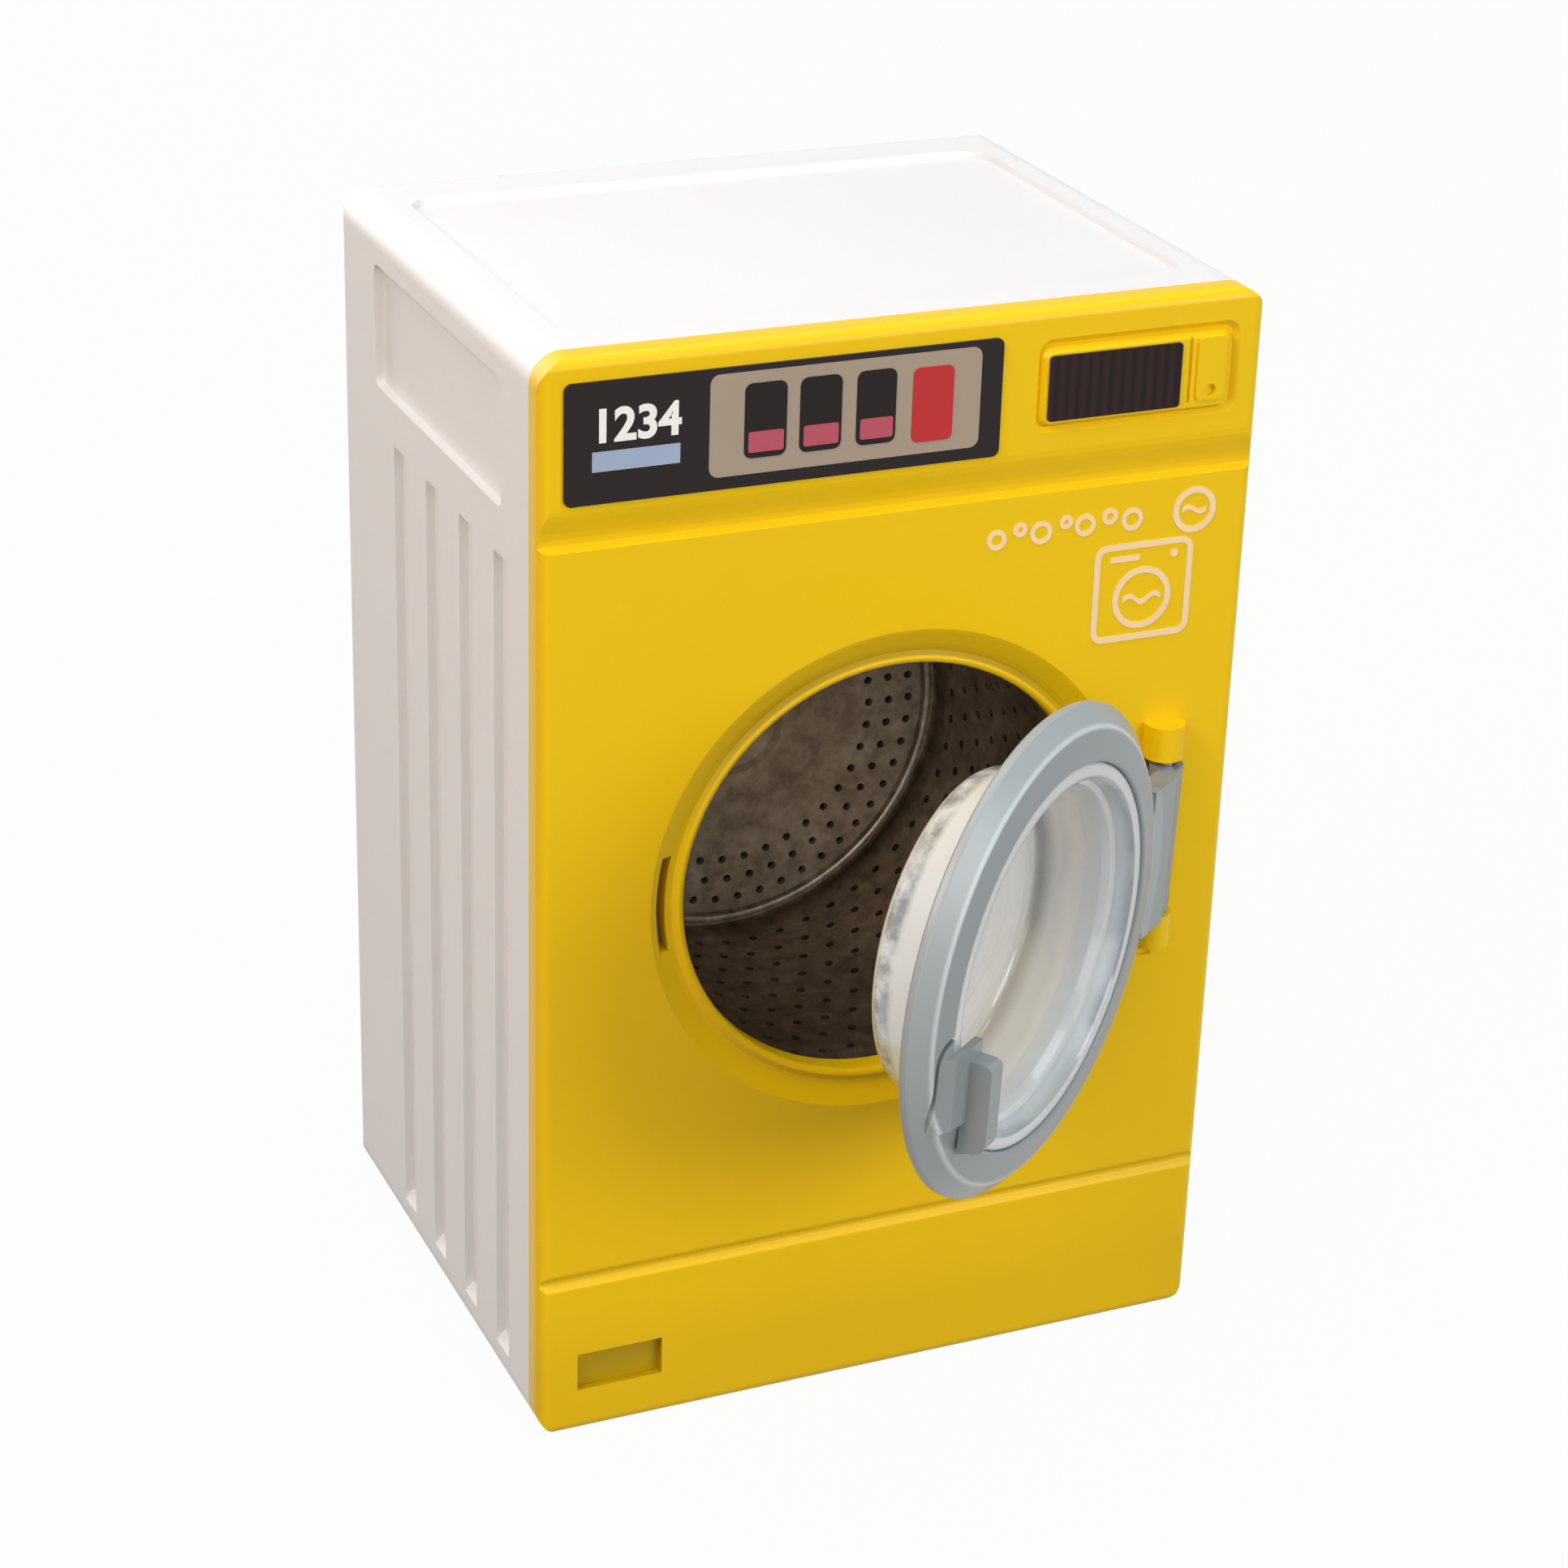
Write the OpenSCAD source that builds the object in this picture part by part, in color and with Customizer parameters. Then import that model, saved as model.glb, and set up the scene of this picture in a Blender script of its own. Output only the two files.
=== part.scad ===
// Toy front-loading washing machine: a moulded cabinet with a hinged porthole
// door and a perforated drum that turns on a rear shaft.
// Millimetres. +Z is up, the front faces -Y, the origin is the centre of the base.

/* [Cabinet] */
// Width of the cabinet
body_w = 39; // [38:0.5:42]
// Depth of the cabinet, front face to back face
body_d = 31.5; // [31:0.5:36]
// Height of the cabinet
body_h = 60; // [59.5:0.5:64]
// Wall thickness of the cabinet shell
wall = 1.6; // [1.4:0.1:1.8]
// Radius of the cabinet's four long corners
corner_r = 1.6; // [1.2:0.1:2]
// Number of upright grooves on each side
side_grooves = 4; // [3:1:5]

/* [Front panel] */
// Thickness of the front panel
panel_t = 1.5; // [1.4:0.1:1.7]
// Radius of the door opening
opening_r = 11.54; // [11.4:0.02:11.7]
// Outer radius of the dished seat round the opening
seat_r = 13.45; // [13.3:0.05:13.6]
// Height of the middle of the opening
opening_z = 30.3; // [30:0.1:30.6]

/* [Door] */
// Angle that the door stands open at, from closed
door_open = 36; // [0:1:110]
// Outer radius of the door ring at its back
ring_r = 12.95; // [12.75:0.05:13.05]
// Radius of the round hole in the door ring
ring_hole_r = 10.15; // [10:0.05:10.2]
// Thickness of the door ring
ring_t = 1.55; // [1.5:0.05:1.7]
// How far the window bowl reaches behind the ring
bowl_depth = 4.3; // [3.8:0.1:4.6]
// How far the grip stands out from the ring's face
grip_out = 1.55; // [1.2:0.05:1.9]
// How far the door's middle hangs below the middle of the opening
door_drop = 0.44; // [0.4:0.02:0.5]

/* [Hinge] */
// Distance of the hinge pin from the panel's right side
hinge_inset = 4.15; // [3.9:0.05:4.3]
// How far the hinge pin leans out of plumb, in degrees
pin_lean = 2; // [0:0.25:2]
// Radius of the hinge pin
pin_r = 0.4; // [0.35:0.05:0.45]
// Running clearance round the hinge pin
pin_clear = 0.05; // [0.03:0.01:0.07]
// Length of the door's hinge barrel
barrel_l = 8.6; // [8:0.1:9]

/* [Drum] */
// Height of the drum's axis
drum_z = 29.7; // [29.5:0.1:30.2]
// Inside radius of the drum
drum_r = 12.9; // [12.7:0.1:13.1]
// Depth of the drum's rear disc behind the front face
drum_back_d = 22; // [21.5:0.1:22.4]
// Thickness of the drum's sheet
drum_t = 0.4; // [0.35:0.05:0.5]
// Rows of holes along the drum's side
hole_rows = 10; // [6:1:11]
// Holes in each row round the drum
holes_round = 48; // [30:2:52]
// Radius of a drum hole
hole_r = 0.24; // [0.2:0.01:0.3]

/* [Hidden] */
$fn = 96;
small_fn = 40;
over = 1;                       // how far cutters run past a face
fit = 0.1;                      // clearance of a located moulding

// cabinet
edge_r = 0.6;                   // rounding of the panel's front edges
back_edge_r = 0.8;              // rounding of the shell's back edges
cover_t = 1.5;                  // back cover
cover_lip = 0.95;               // shell wall left outside the cover
side_sink = 0.5;                // depth of the side grooves and the side field
groove_w = 1.95;
groove_pitch = 5.3;
groove_low = 2.3;
groove_high = body_h - 11.7;
groove_lean = 0.15;             // slope of a groove's upper end
groove_mid_d = 15.55;           // middle of the groove set, behind the front face
field_d0 = 5.5;                 // sunk field high on each side
field_d1 = 25.5;
field_z0 = body_h - 9.2;
field_z1 = body_h - 2.5;
top_sink = 0.4;                 // sunk field on the top
top_half = 17;
top_d0 = 3.6;
top_d1 = 28;

// front panel
step_z = body_h - 9.7;          // lower edge of the wide upper step groove
step_w = 2;
step_sink = 0.42;
step_foot = 0.25;               // lower side of the step groove
low_groove_z = 9.4;             // middle of the low groove
low_groove_w = 1.1;
low_groove_sink = 0.26;
tag_x0 = -17.3;                 // small sunk tag low on the left
tag_x1 = -12.5;
tag_z0 = 2.6;
tag_z1 = 4.8;
tag_sink = 0.5;
rim_t = 1;                      // rim that locates the panel in the shell
rim_l = 1.4;
seat_d = 0.5;                   // deepest part of the seat
lip_d = 0.27;                   // front of the opening's rounded lip
lip_r = 0.33;
slot_r0 = 12.6;                 // latch slot in the seat
slot_r1 = 13.15;
slot_z = opening_z + 0.13;
slot_half = 2.7;

// coin unit moulded in the panel
coin_side = 1.4;
coin_top = 1.6;
coin_w = 11.4;
coin_h = 4.9;
coin_x1 = body_w / 2 - coin_side;
coin_x0 = coin_x1 - coin_w;
coin_z1 = body_h - coin_top;
coin_z0 = coin_z1 - coin_h;
coin_rise = 0.2;                // pad over the panel's face
coin_sink = 0.25;               // moat round the pad
coin_flare = 0.3;               // slope of the moat's and the pad's sides
coin_split_x = coin_x1 - 2.9;
coin_plate_x0 = coin_x1 - 2.5;
coin_plate_x1 = coin_x1 - 0.9;
coin_plate_z0 = coin_z0 + 0.9;
coin_plate_z1 = coin_z1 - 0.7;
coin_plate_t = 0.12;
coin_dot_x = coin_x1 - 1.7;
coin_dot_z = coin_z0 + 1.4;
coin_dot_r = 0.32;

// labels
label_t = 0.12;
label_side = 1.2;
label_gap = 2;                  // between the control label and the coin unit
label_h = 6.15;
label_r = 0.4;
display_in = 0.54;
display_foot = 0.7;
display_w = 7.43;
display_h = 3.4;
display_r = 0.2;
label_x0 = -body_w / 2 + label_side;
label_x1 = coin_x0 - label_gap;
label_z1 = body_h - label_side;
label_z0 = label_z1 - label_h;
display_x0 = coin_x0 + display_in;
display_x1 = display_x0 + display_w;
display_z0 = coin_z0 + display_foot;
display_z1 = display_z0 + display_h;

// hinge, measured behind the front face
hinge_d = -0.36;
hinge_x = body_w / 2 - hinge_inset;
lean_turn = 36;                 // direction of the pin's lean, from the front
barrel_r = 0.9;
knuckle_r = 1.08;
knuckle_off = 0.1;              // the knuckles' middle is left of the pin
knuckle_l = 1.9;
hinge_play = 0.5;               // end play of the barrel between the knuckles
knuckle_gap = 0.06;             // gap on which the barrel rests
hinge_half = (barrel_l + hinge_play) / 2;
barrel_z0 = opening_z - hinge_half + knuckle_gap;
pocket_d = 0.9;
pocket_half = 1.15;
arm_t = 1.2;
arm_root_x = ring_r - 1.3;
arm_neck = 0.33;                // where the arm leaves the barrel
pin_fit = 0.02;                 // the pin's fit in the knuckles

// door, heights measured forward from the ring's back plane
ring_back_d = hinge_d;          // the ring's back plane when closed
door_z = opening_z - door_drop;
ring_edge_r = 11.9;             // edge between the ring's face and its bevel
ring_edge_h = 1.3;
ring_side_h = 0.4;
counter_r = 10.6;               // seat for the window in the ring's back
counter_h = 0.8;
flange_r = counter_r - 0.05;
bowl_root_r = 9.35;
bowl_end_r = 8.6;
window_rim_r = 9.35;            // inner edge of the window's flat rim
bowl_wall = 0.6;
bowl_round = 0.9;
back_ring_r = 10.8;
back_ring_t = 0.8;
notch_out = 11.6;               // outer side of the notch for the handle
notch_top = 0.25;
notch_foot = -5;
notch_floor = 0.9;
notch_round = 1.3;
handle_gap = 0.28;
handle_t = 0.45;                // web that carries the grip over the window
window_rim_h = ring_t - 0.12;   // flat rim of the window
web_h = window_rim_h + 0.03;
grip_in = 7.9;                  // side of the grip nearest the middle
grip_w = 1.15;
grip_top = -1.6;
grip_foot = -6.9;
grip_round = 0.4;

// drum
drum_front_d = 2.4;
drum_lip = 0.55;
drum_skirt = 1;
hole_margin = 1.2;              // plain band at each end of the drum's side
disc_r = drum_r - 0.02;
disc_rows = [11.1, 9.85, 8.6];  // radii of the disc's rows of holes
disc_pitch = 1.4;               // spacing of the holes along a row
bead_r0 = 12.12;                // rolled bead at the disc's rim
bead_r1 = 12.58;
bead_groove = 0.35;
dish_r = 7.6;
dish_rise = 0.55;
dish_slope = 5;                 // width over which the dish rises
hub_r = 2.4;
hub_rise = 0.15;

// rear bearing, depths behind the front face
shaft_r = 1.2;
shaft_clear = 0.05;
bush_r = 2;
bush_flange_r = 2.7;
bush_flange_t = 0.4;
boss_r = 3.2;
well_r = 2.7;
well_d = 28.4;
shaft_end_d = 28.65;
collar_r = 2.4;
collar_l = 1.45;
thrust_gap = 0.15;              // end play between collar and bush
boss_d = drum_back_d + drum_t - dish_rise + collar_l + thrust_gap + bush_flange_t;
rib_root_d = 26.5;              // front of the ribs round the boss
rib_l = 9;
rib_t = 1;
tap_l = 3.5;
washer_t = 0.3;
washer_r = 2.1;
screw_head_r = 1.4;
screw_head_t = 0.8;
screw_r = 0.5;
screw_l = 3;

// screw posts
post_r = 1.5;
post_x = body_w / 2 - 3.9;
post_z = 4.4;
pilot_r = 0.52;
pilot_l = 6;
head_r = 1.15;
head_t = 0.8;
shank_l = 5;

inner_w = body_w - 2 * wall;
cover_w = body_w - 2 * cover_lip - 2 * fit;
cover_d = body_d - cover_t;

// Puts its children behind the front face: y = 0 is the panel's face.
module at_front() {
    translate([0, -body_d / 2, 0]) children();
}

// Turns a profile of [radius, depth] round the drum and door axis.
module turned(z = opening_z) {
    at_front() translate([0, 0, z]) rotate([-90, 0, 0]) rotate_extrude() children();
}

// A cylinder along Y from depth d0 to depth d1.
module rod(x, z, d0, d1, r, fn = small_fn) {
    at_front() translate([x, d0, z]) rotate([-90, 0, 0]) cylinder(h = d1 - d0, r = r, $fn = fn);
}

// A box given by its edges: x0..x1, depth d0..d1, z0..z1.
module block(x0, x1, d0, d1, z0, z1) {
    at_front() translate([x0, d0, z0]) cube([x1 - x0, d1 - d0, z1 - z0]);
}

// A rectangle with four round corners, built from exact shapes.
module round_rect(x0, x1, y0, y1, r) {
    union() {
        translate([x0 + r, y0]) square([x1 - x0 - 2 * r, y1 - y0]);
        translate([x0, y0 + r]) square([x1 - x0, y1 - y0 - 2 * r]);
        for (x = [x0 + r, x1 - r], y = [y0 + r, y1 - r])
            translate([x, y]) circle(r = r, $fn = small_fn);
    }
}

// A rounded plate in the XZ plane, from depth d0 to d1.
module plate(x0, x1, z0, z1, d0, d1, r) {
    at_front() translate([0, d1, 0]) rotate([90, 0, 0])
        linear_extrude(height = d1 - d0) round_rect(x0, x1, z0, z1, r);
}

// Points of a quarter arc from angle a0 to a1 round [cx, cy].
function arc(cx, cy, r, a0, a1, n = 6) =
    [for (i = [0:n]) let (a = a0 + (a1 - a0) * i / n) [cx + r * cos(a), cy + r * sin(a)]];

// Turns its children, drawn upright, to the lean of the hinge pin.
module leaning() {
    translate([hinge_x, hinge_d - body_d / 2, door_z]) rotate([0, 0, lean_turn])
        rotate([pin_lean, 0, 0]) rotate([0, 0, -lean_turn])
        translate([-hinge_x, body_d / 2 - hinge_d, -door_z]) children();
}

// Places its children, drawn closed, at the angle the door stands open.
module hung() {
    leaning() translate([hinge_x, hinge_d - body_d / 2, 0]) rotate([0, 0, door_open])
        translate([-hinge_x, body_d / 2 - hinge_d, 0]) children();
}

// Turns a door profile of [radius, height forward of the ring's back].
module door_turned() {
    hung() at_front() translate([0, ring_back_d, door_z]) rotate([90, 0, 0])
        rotate_extrude() children();
}

module post_places() {
    for (x = [-post_x, post_x], z = [post_z, body_h - post_z]) translate([x, 0, z]) children();
}

// ---- cabinet ----

module cabinet_shell() {
    color("white") difference() {
        intersection() {
            plate(-body_w / 2, body_w / 2, 0, body_h, panel_t, body_d, corner_r);
            // rounded upright back edges
            translate([0, 0, -over]) linear_extrude(height = body_h + 2 * over)
                round_rect(-body_w / 2, body_w / 2, -body_d / 2 - 4, body_d / 2, back_edge_r);
            // rounded back edges of top and bottom
            translate([-body_w / 2 - over, 0, 0]) rotate([90, 0, 90])
                linear_extrude(height = body_w + 2 * over)
                round_rect(-body_d / 2 - 4, body_d / 2, 0, body_h, back_edge_r);
        }
        plate(-inner_w / 2, inner_w / 2, wall, body_h - wall, panel_t - over, body_d + over, 0.9);
        // rebate for the back cover
        plate(-body_w / 2 + cover_lip, body_w / 2 - cover_lip, cover_lip, body_h - cover_lip,
              cover_d, body_d + over, 0.9);
        for (s = [-1, 1]) {
            for (i = [0:side_grooves - 1])
                side_groove(s, groove_mid_d + (i - (side_grooves - 1) / 2) * groove_pitch);
            side_field(s);
        }
        // sunk field on the top
        translate([0, -body_d / 2, body_h - top_sink]) linear_extrude(height = top_sink + over)
            round_rect(-top_half, top_half, top_d0, top_d1, 1.6);
    }
}

// One upright groove: flat floor, ends that slope out to the surface.
module side_groove(s, d) {
    x = s * body_w / 2;
    at_front() translate([x, d - groove_w / 2, 0]) rotate([90, 0, 180])
        translate([0, 0, -groove_w]) linear_extrude(height = groove_w)
        polygon([[s * side_sink, groove_low + side_sink],
                 [s * side_sink, groove_high - groove_lean],
                 [-s * over, groove_high + groove_lean * over / side_sink],
                 [-s * over, groove_low - over]]);
}

module side_field(s) {
    x = s * (body_w / 2 - side_sink);
    translate([x, -body_d / 2, 0]) rotate([90, 0, 90])
        translate([0, 0, s > 0 ? 0 : -over])
        linear_extrude(height = over) round_rect(field_d0, field_d1, field_z0, field_z1, 0.5);
}

module front_panel() {
    color("gold") union() {
        difference() {
            union() {
                panel_plate();
                knuckles();
                post_places() rod(0, 0, panel_t - 0.1, cover_d, post_r);
                locating_rim();
            }
            opening();
            step_grooves();
            coin_moat();
            block(tag_x0, tag_x1, -over, tag_sink, tag_z0, tag_z1);
            hinge_pocket();
            hinge_bores();
            post_places() rod(0, 0, cover_d - pilot_l, cover_d + over, pilot_r);
        }
        coin_pad();
    }
}

// Flat plate with rounded front edges all round.
module panel_plate() {
    intersection() {
        plate(-body_w / 2, body_w / 2, 0, body_h, 0, panel_t, corner_r);
        translate([0, 0, -over]) linear_extrude(height = body_h + 2 * over)
            round_rect(-body_w / 2, body_w / 2, -body_d / 2, body_d / 2, edge_r);
        translate([-body_w / 2 - over, 0, 0]) rotate([90, 0, 90])
            linear_extrude(height = body_w + 2 * over)
            round_rect(-body_d / 2, body_d / 2, 0, body_h, edge_r);
    }
}

module locating_rim() {
    w = inner_w / 2 - fit;
    difference() {
        plate(-w, w, wall + fit, body_h - wall - fit, panel_t - 0.1, panel_t + rim_l, 0.8);
        plate(-w + rim_t, w - rim_t, wall + fit + rim_t, body_h - wall - fit - rim_t,
              panel_t - over, panel_t + rim_l + over, 0.5);
    }
}

// Dished seat, rounded lip and latch slot of the door opening.
module opening() {
    turned() polygon(concat(
        [[0, -over], [seat_r + 0.4, -over], [seat_r + 0.08, 0], [seat_r - 0.06, 0.07],
         [seat_r - 0.45, 0.24], [opening_r + lip_r + 0.6, seat_d - 0.04],
         [opening_r + lip_r + 0.35, seat_d], [opening_r + lip_r + 0.1, lip_d + 0.06]],
        arc(opening_r + lip_r, lip_d + lip_r, lip_r, -90, -180),
        [[opening_r, panel_t + over], [0, panel_t + over]]));
    intersection() {
        turned() translate([slot_r0, -over]) square([slot_r1 - slot_r0, panel_t + 2 * over]);
        block(-body_w / 2, 0, -2 * over, panel_t + 2 * over, slot_z - slot_half, slot_z + slot_half);
    }
}

// Soft groove of [depth, height] points: falls over the width up, w_up, and
// comes back over the width down, w_down, from its deepest line at z.
function swale(z, sink, w_up, w_down, n = 6) = concat(
    [[-over, z + w_up]],
    [for (i = [0:n]) [sink * (1 - cos(180 * i / n)) / 2, z + w_up * (1 - i / n)]],
    [for (i = [1:n]) [sink * (1 + cos(180 * i / n)) / 2, z - w_down * i / n]],
    [[-over, z - w_down]]);

module step_grooves() {
    at_front() translate([-body_w / 2 - over, 0, 0]) rotate([90, 0, 90])
        linear_extrude(height = body_w + 2 * over) {
            polygon(swale(step_z + step_foot, step_sink, step_w, step_foot));
            polygon(swale(low_groove_z, low_groove_sink, low_groove_w / 2, low_groove_w / 2));
        }
}

// A plate whose sides slope: its outline grows by flare from depth d0 to d1.
module flared_plate(x0, x1, z0, z1, d0, d1, flare, r) {
    slice = 0.01;
    hull() {
        plate(x0, x1, z0, z1, d0, d0 + slice, r);
        plate(x0 - flare, x1 + flare, z0 - flare, z1 + flare, d1 - slice, d1, r + flare);
    }
}

// Sunk rounded rectangle that the coin pad stands in.
module coin_moat() {
    flared_plate(coin_x0 + coin_flare, coin_x1 - coin_flare, coin_z0 + coin_flare,
                 coin_z1 - coin_flare, coin_sink, -coin_sink, 2 * coin_flare, 0.5);
}

// Raised coin pad with its upright split line, plate and round stud.
module coin_pad() {
    difference() {
        flared_plate(display_x0 - 0.15, coin_x1 - 2 * coin_flare - 0.1, display_z0 - 0.15,
                     coin_z1 - 2 * coin_flare - 0.1, -coin_rise, coin_sink + 0.1, 0.35, 0.3);
        block(coin_split_x - 0.1, coin_split_x + 0.1, -coin_rise - over, -coin_rise + 0.12,
              coin_z0 + 0.8, coin_z1 - 0.6);
        rod(coin_dot_x, coin_dot_z, -over, -coin_rise + 0.1, coin_dot_r);
    }
    difference() {
        plate(coin_plate_x0, coin_plate_x1, coin_plate_z0, coin_plate_z1,
              -coin_rise - coin_plate_t, -coin_rise + 0.01, 0.3);
        rod(coin_dot_x, coin_dot_z, -over, 0, coin_dot_r);
    }
}

module knuckles() {
    knuckle_x = hinge_x - knuckle_off;
    for (s = [-1, 1]) {
        z0 = opening_z + (s > 0 ? hinge_half : -hinge_half - knuckle_l);
        at_front() translate([knuckle_x, hinge_d, z0])
            cylinder(h = knuckle_l, r = knuckle_r, $fn = small_fn);
        block(knuckle_x - knuckle_r, knuckle_x + knuckle_r, hinge_d, pocket_d / 2, z0, z0 + knuckle_l);
    }
}

module hinge_pocket() {
    block(hinge_x - pocket_half, hinge_x + pocket_half, -2 * over, pocket_d,
          opening_z - hinge_half, opening_z + hinge_half);
}

// Pin bore through the lower knuckle and into the upper one.
module hinge_bores() {
    leaning() at_front() translate([hinge_x, hinge_d, opening_z - hinge_half - knuckle_l - over])
        cylinder(h = 2 * hinge_half + 2 * knuckle_l + over - 0.3, r = pin_r + pin_fit, $fn = small_fn);
}

module hinge_pin() {
    color("silver") leaning() at_front()
        translate([hinge_x, hinge_d, opening_z - hinge_half - knuckle_l + 0.1])
        cylinder(h = 2 * hinge_half + 2 * knuckle_l - 0.5, r = pin_r, $fn = small_fn);
}

module back_cover() {
    color("whitesmoke") difference() {
        union() {
            plate(-cover_w / 2, cover_w / 2, cover_lip + fit, body_h - cover_lip - fit,
                  cover_d, body_d, 0.8);
            rod(0, drum_z, boss_d, cover_d + 0.1, boss_r, $fn);
            // ribs that stiffen the cover round the bearing boss
            for (a = [45:90:315]) at_front() translate([0, 0, drum_z]) rotate([0, a, 0])
                translate([boss_r - 0.4, rib_root_d, -rib_t / 2])
                cube([rib_l, cover_d + 0.1 - rib_root_d, rib_t]);
        }
        rod(0, drum_z, boss_d - over, well_d + 0.1, bush_r + 0.01);
        rod(0, drum_z, well_d, body_d + over, well_r);
        post_places() {
            rod(0, 0, cover_d - over, body_d + over, pilot_r + 0.15);
            rod(0, 0, body_d - head_t - 0.05, body_d + over, head_r + 0.12);
        }
    }
}

module cover_screws() {
    color("silver") post_places() difference() {
        union() {
            rod(0, 0, body_d - head_t - 0.05, body_d - 0.05, head_r);
            rod(0, 0, body_d - head_t - shank_l, body_d - head_t, pilot_r - 0.02);
        }
        cross_recess(body_d - 0.05, 0.75);
    }
}

// Cross recess in a screw head whose top is at depth d.
module cross_recess(d, half, z = 0) {
    for (w = [[half, 0.14], [0.14, half]])
        block(-w[0], w[0], d - 0.4, d + over, z - w[1], z + w[1]);
}

// ---- labels ----

module control_label() {
    color("black") plate(label_x0, label_x1, label_z0, label_z1, -label_t, 0, label_r);
}

module display_label() {
    color("black") plate(display_x0, display_x1, display_z0, display_z1,
                         -coin_rise - label_t, -coin_rise, display_r);
}

// ---- drum ----

// Rolled front lip, perforated side wall and a skirt behind the rear disc.
module drum_shell() {
    color("dimgray") difference() {
        turned(drum_z) polygon(concat(
            [[drum_r, drum_front_d + 0.5], [drum_r - drum_lip, drum_front_d + 0.35]],
            arc(drum_r - drum_lip + 0.02, drum_front_d + 0.17, 0.18, 95, 265),
            [[drum_r, drum_front_d - 0.01], [drum_r + drum_t, drum_front_d + 0.35],
             [drum_r + drum_t, drum_back_d + drum_skirt], [drum_r, drum_back_d + drum_skirt]]));
        for (row = [0:hole_rows - 1], k = [0:holes_round - 1])
            drum_hole(row, (k + (row % 2) / 2) * 360 / holes_round);
    }
}

// One hole bored outward through the drum's side.
module drum_hole(row, angle) {
    pitch = (drum_back_d - drum_front_d - 2 * hole_margin) / hole_rows;
    at_front() translate([0, drum_front_d + hole_margin + (row + 0.5) * pitch, drum_z])
        rotate([0, angle, 0]) translate([drum_r - 0.3, 0, 0]) rotate([0, 90, 0])
        cylinder(h = drum_t + 0.8, r = hole_r, $fn = 16);
}

// Front face of the rear disc as [radius, depth] points, from the hub out.
function disc_front() = concat(
    [[shaft_r, drum_back_d - dish_rise - hub_rise], [hub_r, drum_back_d - dish_rise - hub_rise],
     [hub_r + 0.6, drum_back_d - dish_rise]],
    [for (i = [0:6]) [dish_r - dish_slope * (1 - i / 6),
                      drum_back_d - dish_rise * (1 + cos(180 * i / 6)) / 2]],
    [[bead_r0 - 0.25, drum_back_d], [bead_r0, drum_back_d + bead_groove]],
    arc((bead_r0 + bead_r1) / 2, drum_back_d + 0.1, (bead_r1 - bead_r0) / 2, 190, 350, 6),
    [[bead_r1 + 0.03, drum_back_d + bead_groove], [disc_r, drum_back_d + bead_groove]]);

// Pressed rear disc: a raised dish, rows of holes, a rolled bead at the rim
// and a flanged edge that sits in the shell.
module drum_back_disc() {
    sheet = drum_back_d + drum_t;
    color("dimgray") difference() {
        turned(drum_z) polygon(concat(
            disc_front(),
            [[disc_r, drum_back_d + drum_skirt], [disc_r - drum_t, drum_back_d + drum_skirt],
             [disc_r - drum_t, sheet + bead_groove], [bead_r0 - 0.1, sheet + bead_groove],
             [bead_r0 - 0.35, sheet], [dish_r, sheet],
             [dish_r - dish_slope + 0.1, sheet - dish_rise], [shaft_r, sheet - dish_rise]]));
        for (row_r = disc_rows) {
            count = round(2 * PI * row_r / disc_pitch);
            for (k = [0:count - 1])
                at_front() translate([0, drum_back_d - over, drum_z])
                    rotate([0, k * 360 / count, 0]) translate([row_r, 0, 0]) rotate([-90, 0, 0])
                    cylinder(h = drum_t + 2 * over, r = hole_r, $fn = 16);
        }
    }
}

module drum_shaft() {
    root_d = drum_back_d + drum_t - dish_rise;
    color("silver") difference() {
        union() {
            rod(0, drum_z, drum_back_d - dish_rise - hub_rise, shaft_end_d, shaft_r);
            rod(0, drum_z, root_d, root_d + collar_l, collar_r);
        }
        rod(0, drum_z, shaft_end_d - tap_l, shaft_end_d + over, screw_r + 0.02);
    }
}

module shaft_bush() {
    color("ivory") difference() {
        union() {
            rod(0, drum_z, boss_d, well_d - 0.1, bush_r);
            rod(0, drum_z, boss_d - bush_flange_t, boss_d, bush_flange_r);
        }
        rod(0, drum_z, boss_d - over, well_d + over, shaft_r + shaft_clear);
    }
}

module shaft_washer() {
    color("silver") difference() {
        rod(0, drum_z, shaft_end_d, shaft_end_d + washer_t, washer_r);
        rod(0, drum_z, shaft_end_d - over, shaft_end_d + washer_t + over, screw_r + 0.08);
    }
}

module shaft_screw() {
    head_d = shaft_end_d + washer_t;
    color("silver") difference() {
        union() {
            rod(0, drum_z, head_d, head_d + screw_head_t, screw_head_r);
            rod(0, drum_z, head_d - screw_l, head_d + 0.1, screw_r);
        }
        cross_recess(head_d + screw_head_t, 0.85, drum_z);
    }
}

// ---- door ----

// The whole ring turned up, before its notch: face, rounded edge and bevel.
module ring_blank() {
    door_turned() polygon(concat(
        [[ring_hole_r, counter_h], [counter_r, counter_h], [counter_r, 0],
         [ring_r - 0.1, 0], [ring_r, 0.12], [ring_r, ring_side_h],
         [ring_r - 0.06, ring_side_h + 0.1], [ring_edge_r + 0.06, ring_edge_h - 0.05],
         [ring_edge_r - 0.05, ring_edge_h + 0.01], [ring_hole_r + 0.2, ring_t]],
        arc(ring_hole_r + 0.15, ring_t - 0.15, 0.15, 90, 180, 4)));
}

module door_ring() {
    color("slategray") difference() {
        union() {
            ring_blank();
            hung() hinge_arm();
        }
        hung() notch(0, ring_t + over);
        hung() at_front() translate([hinge_x, hinge_d, barrel_z0 - over])
            cylinder(h = barrel_l + 2 * over, r = pin_r + pin_clear, $fn = small_fn);
    }
}

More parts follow.
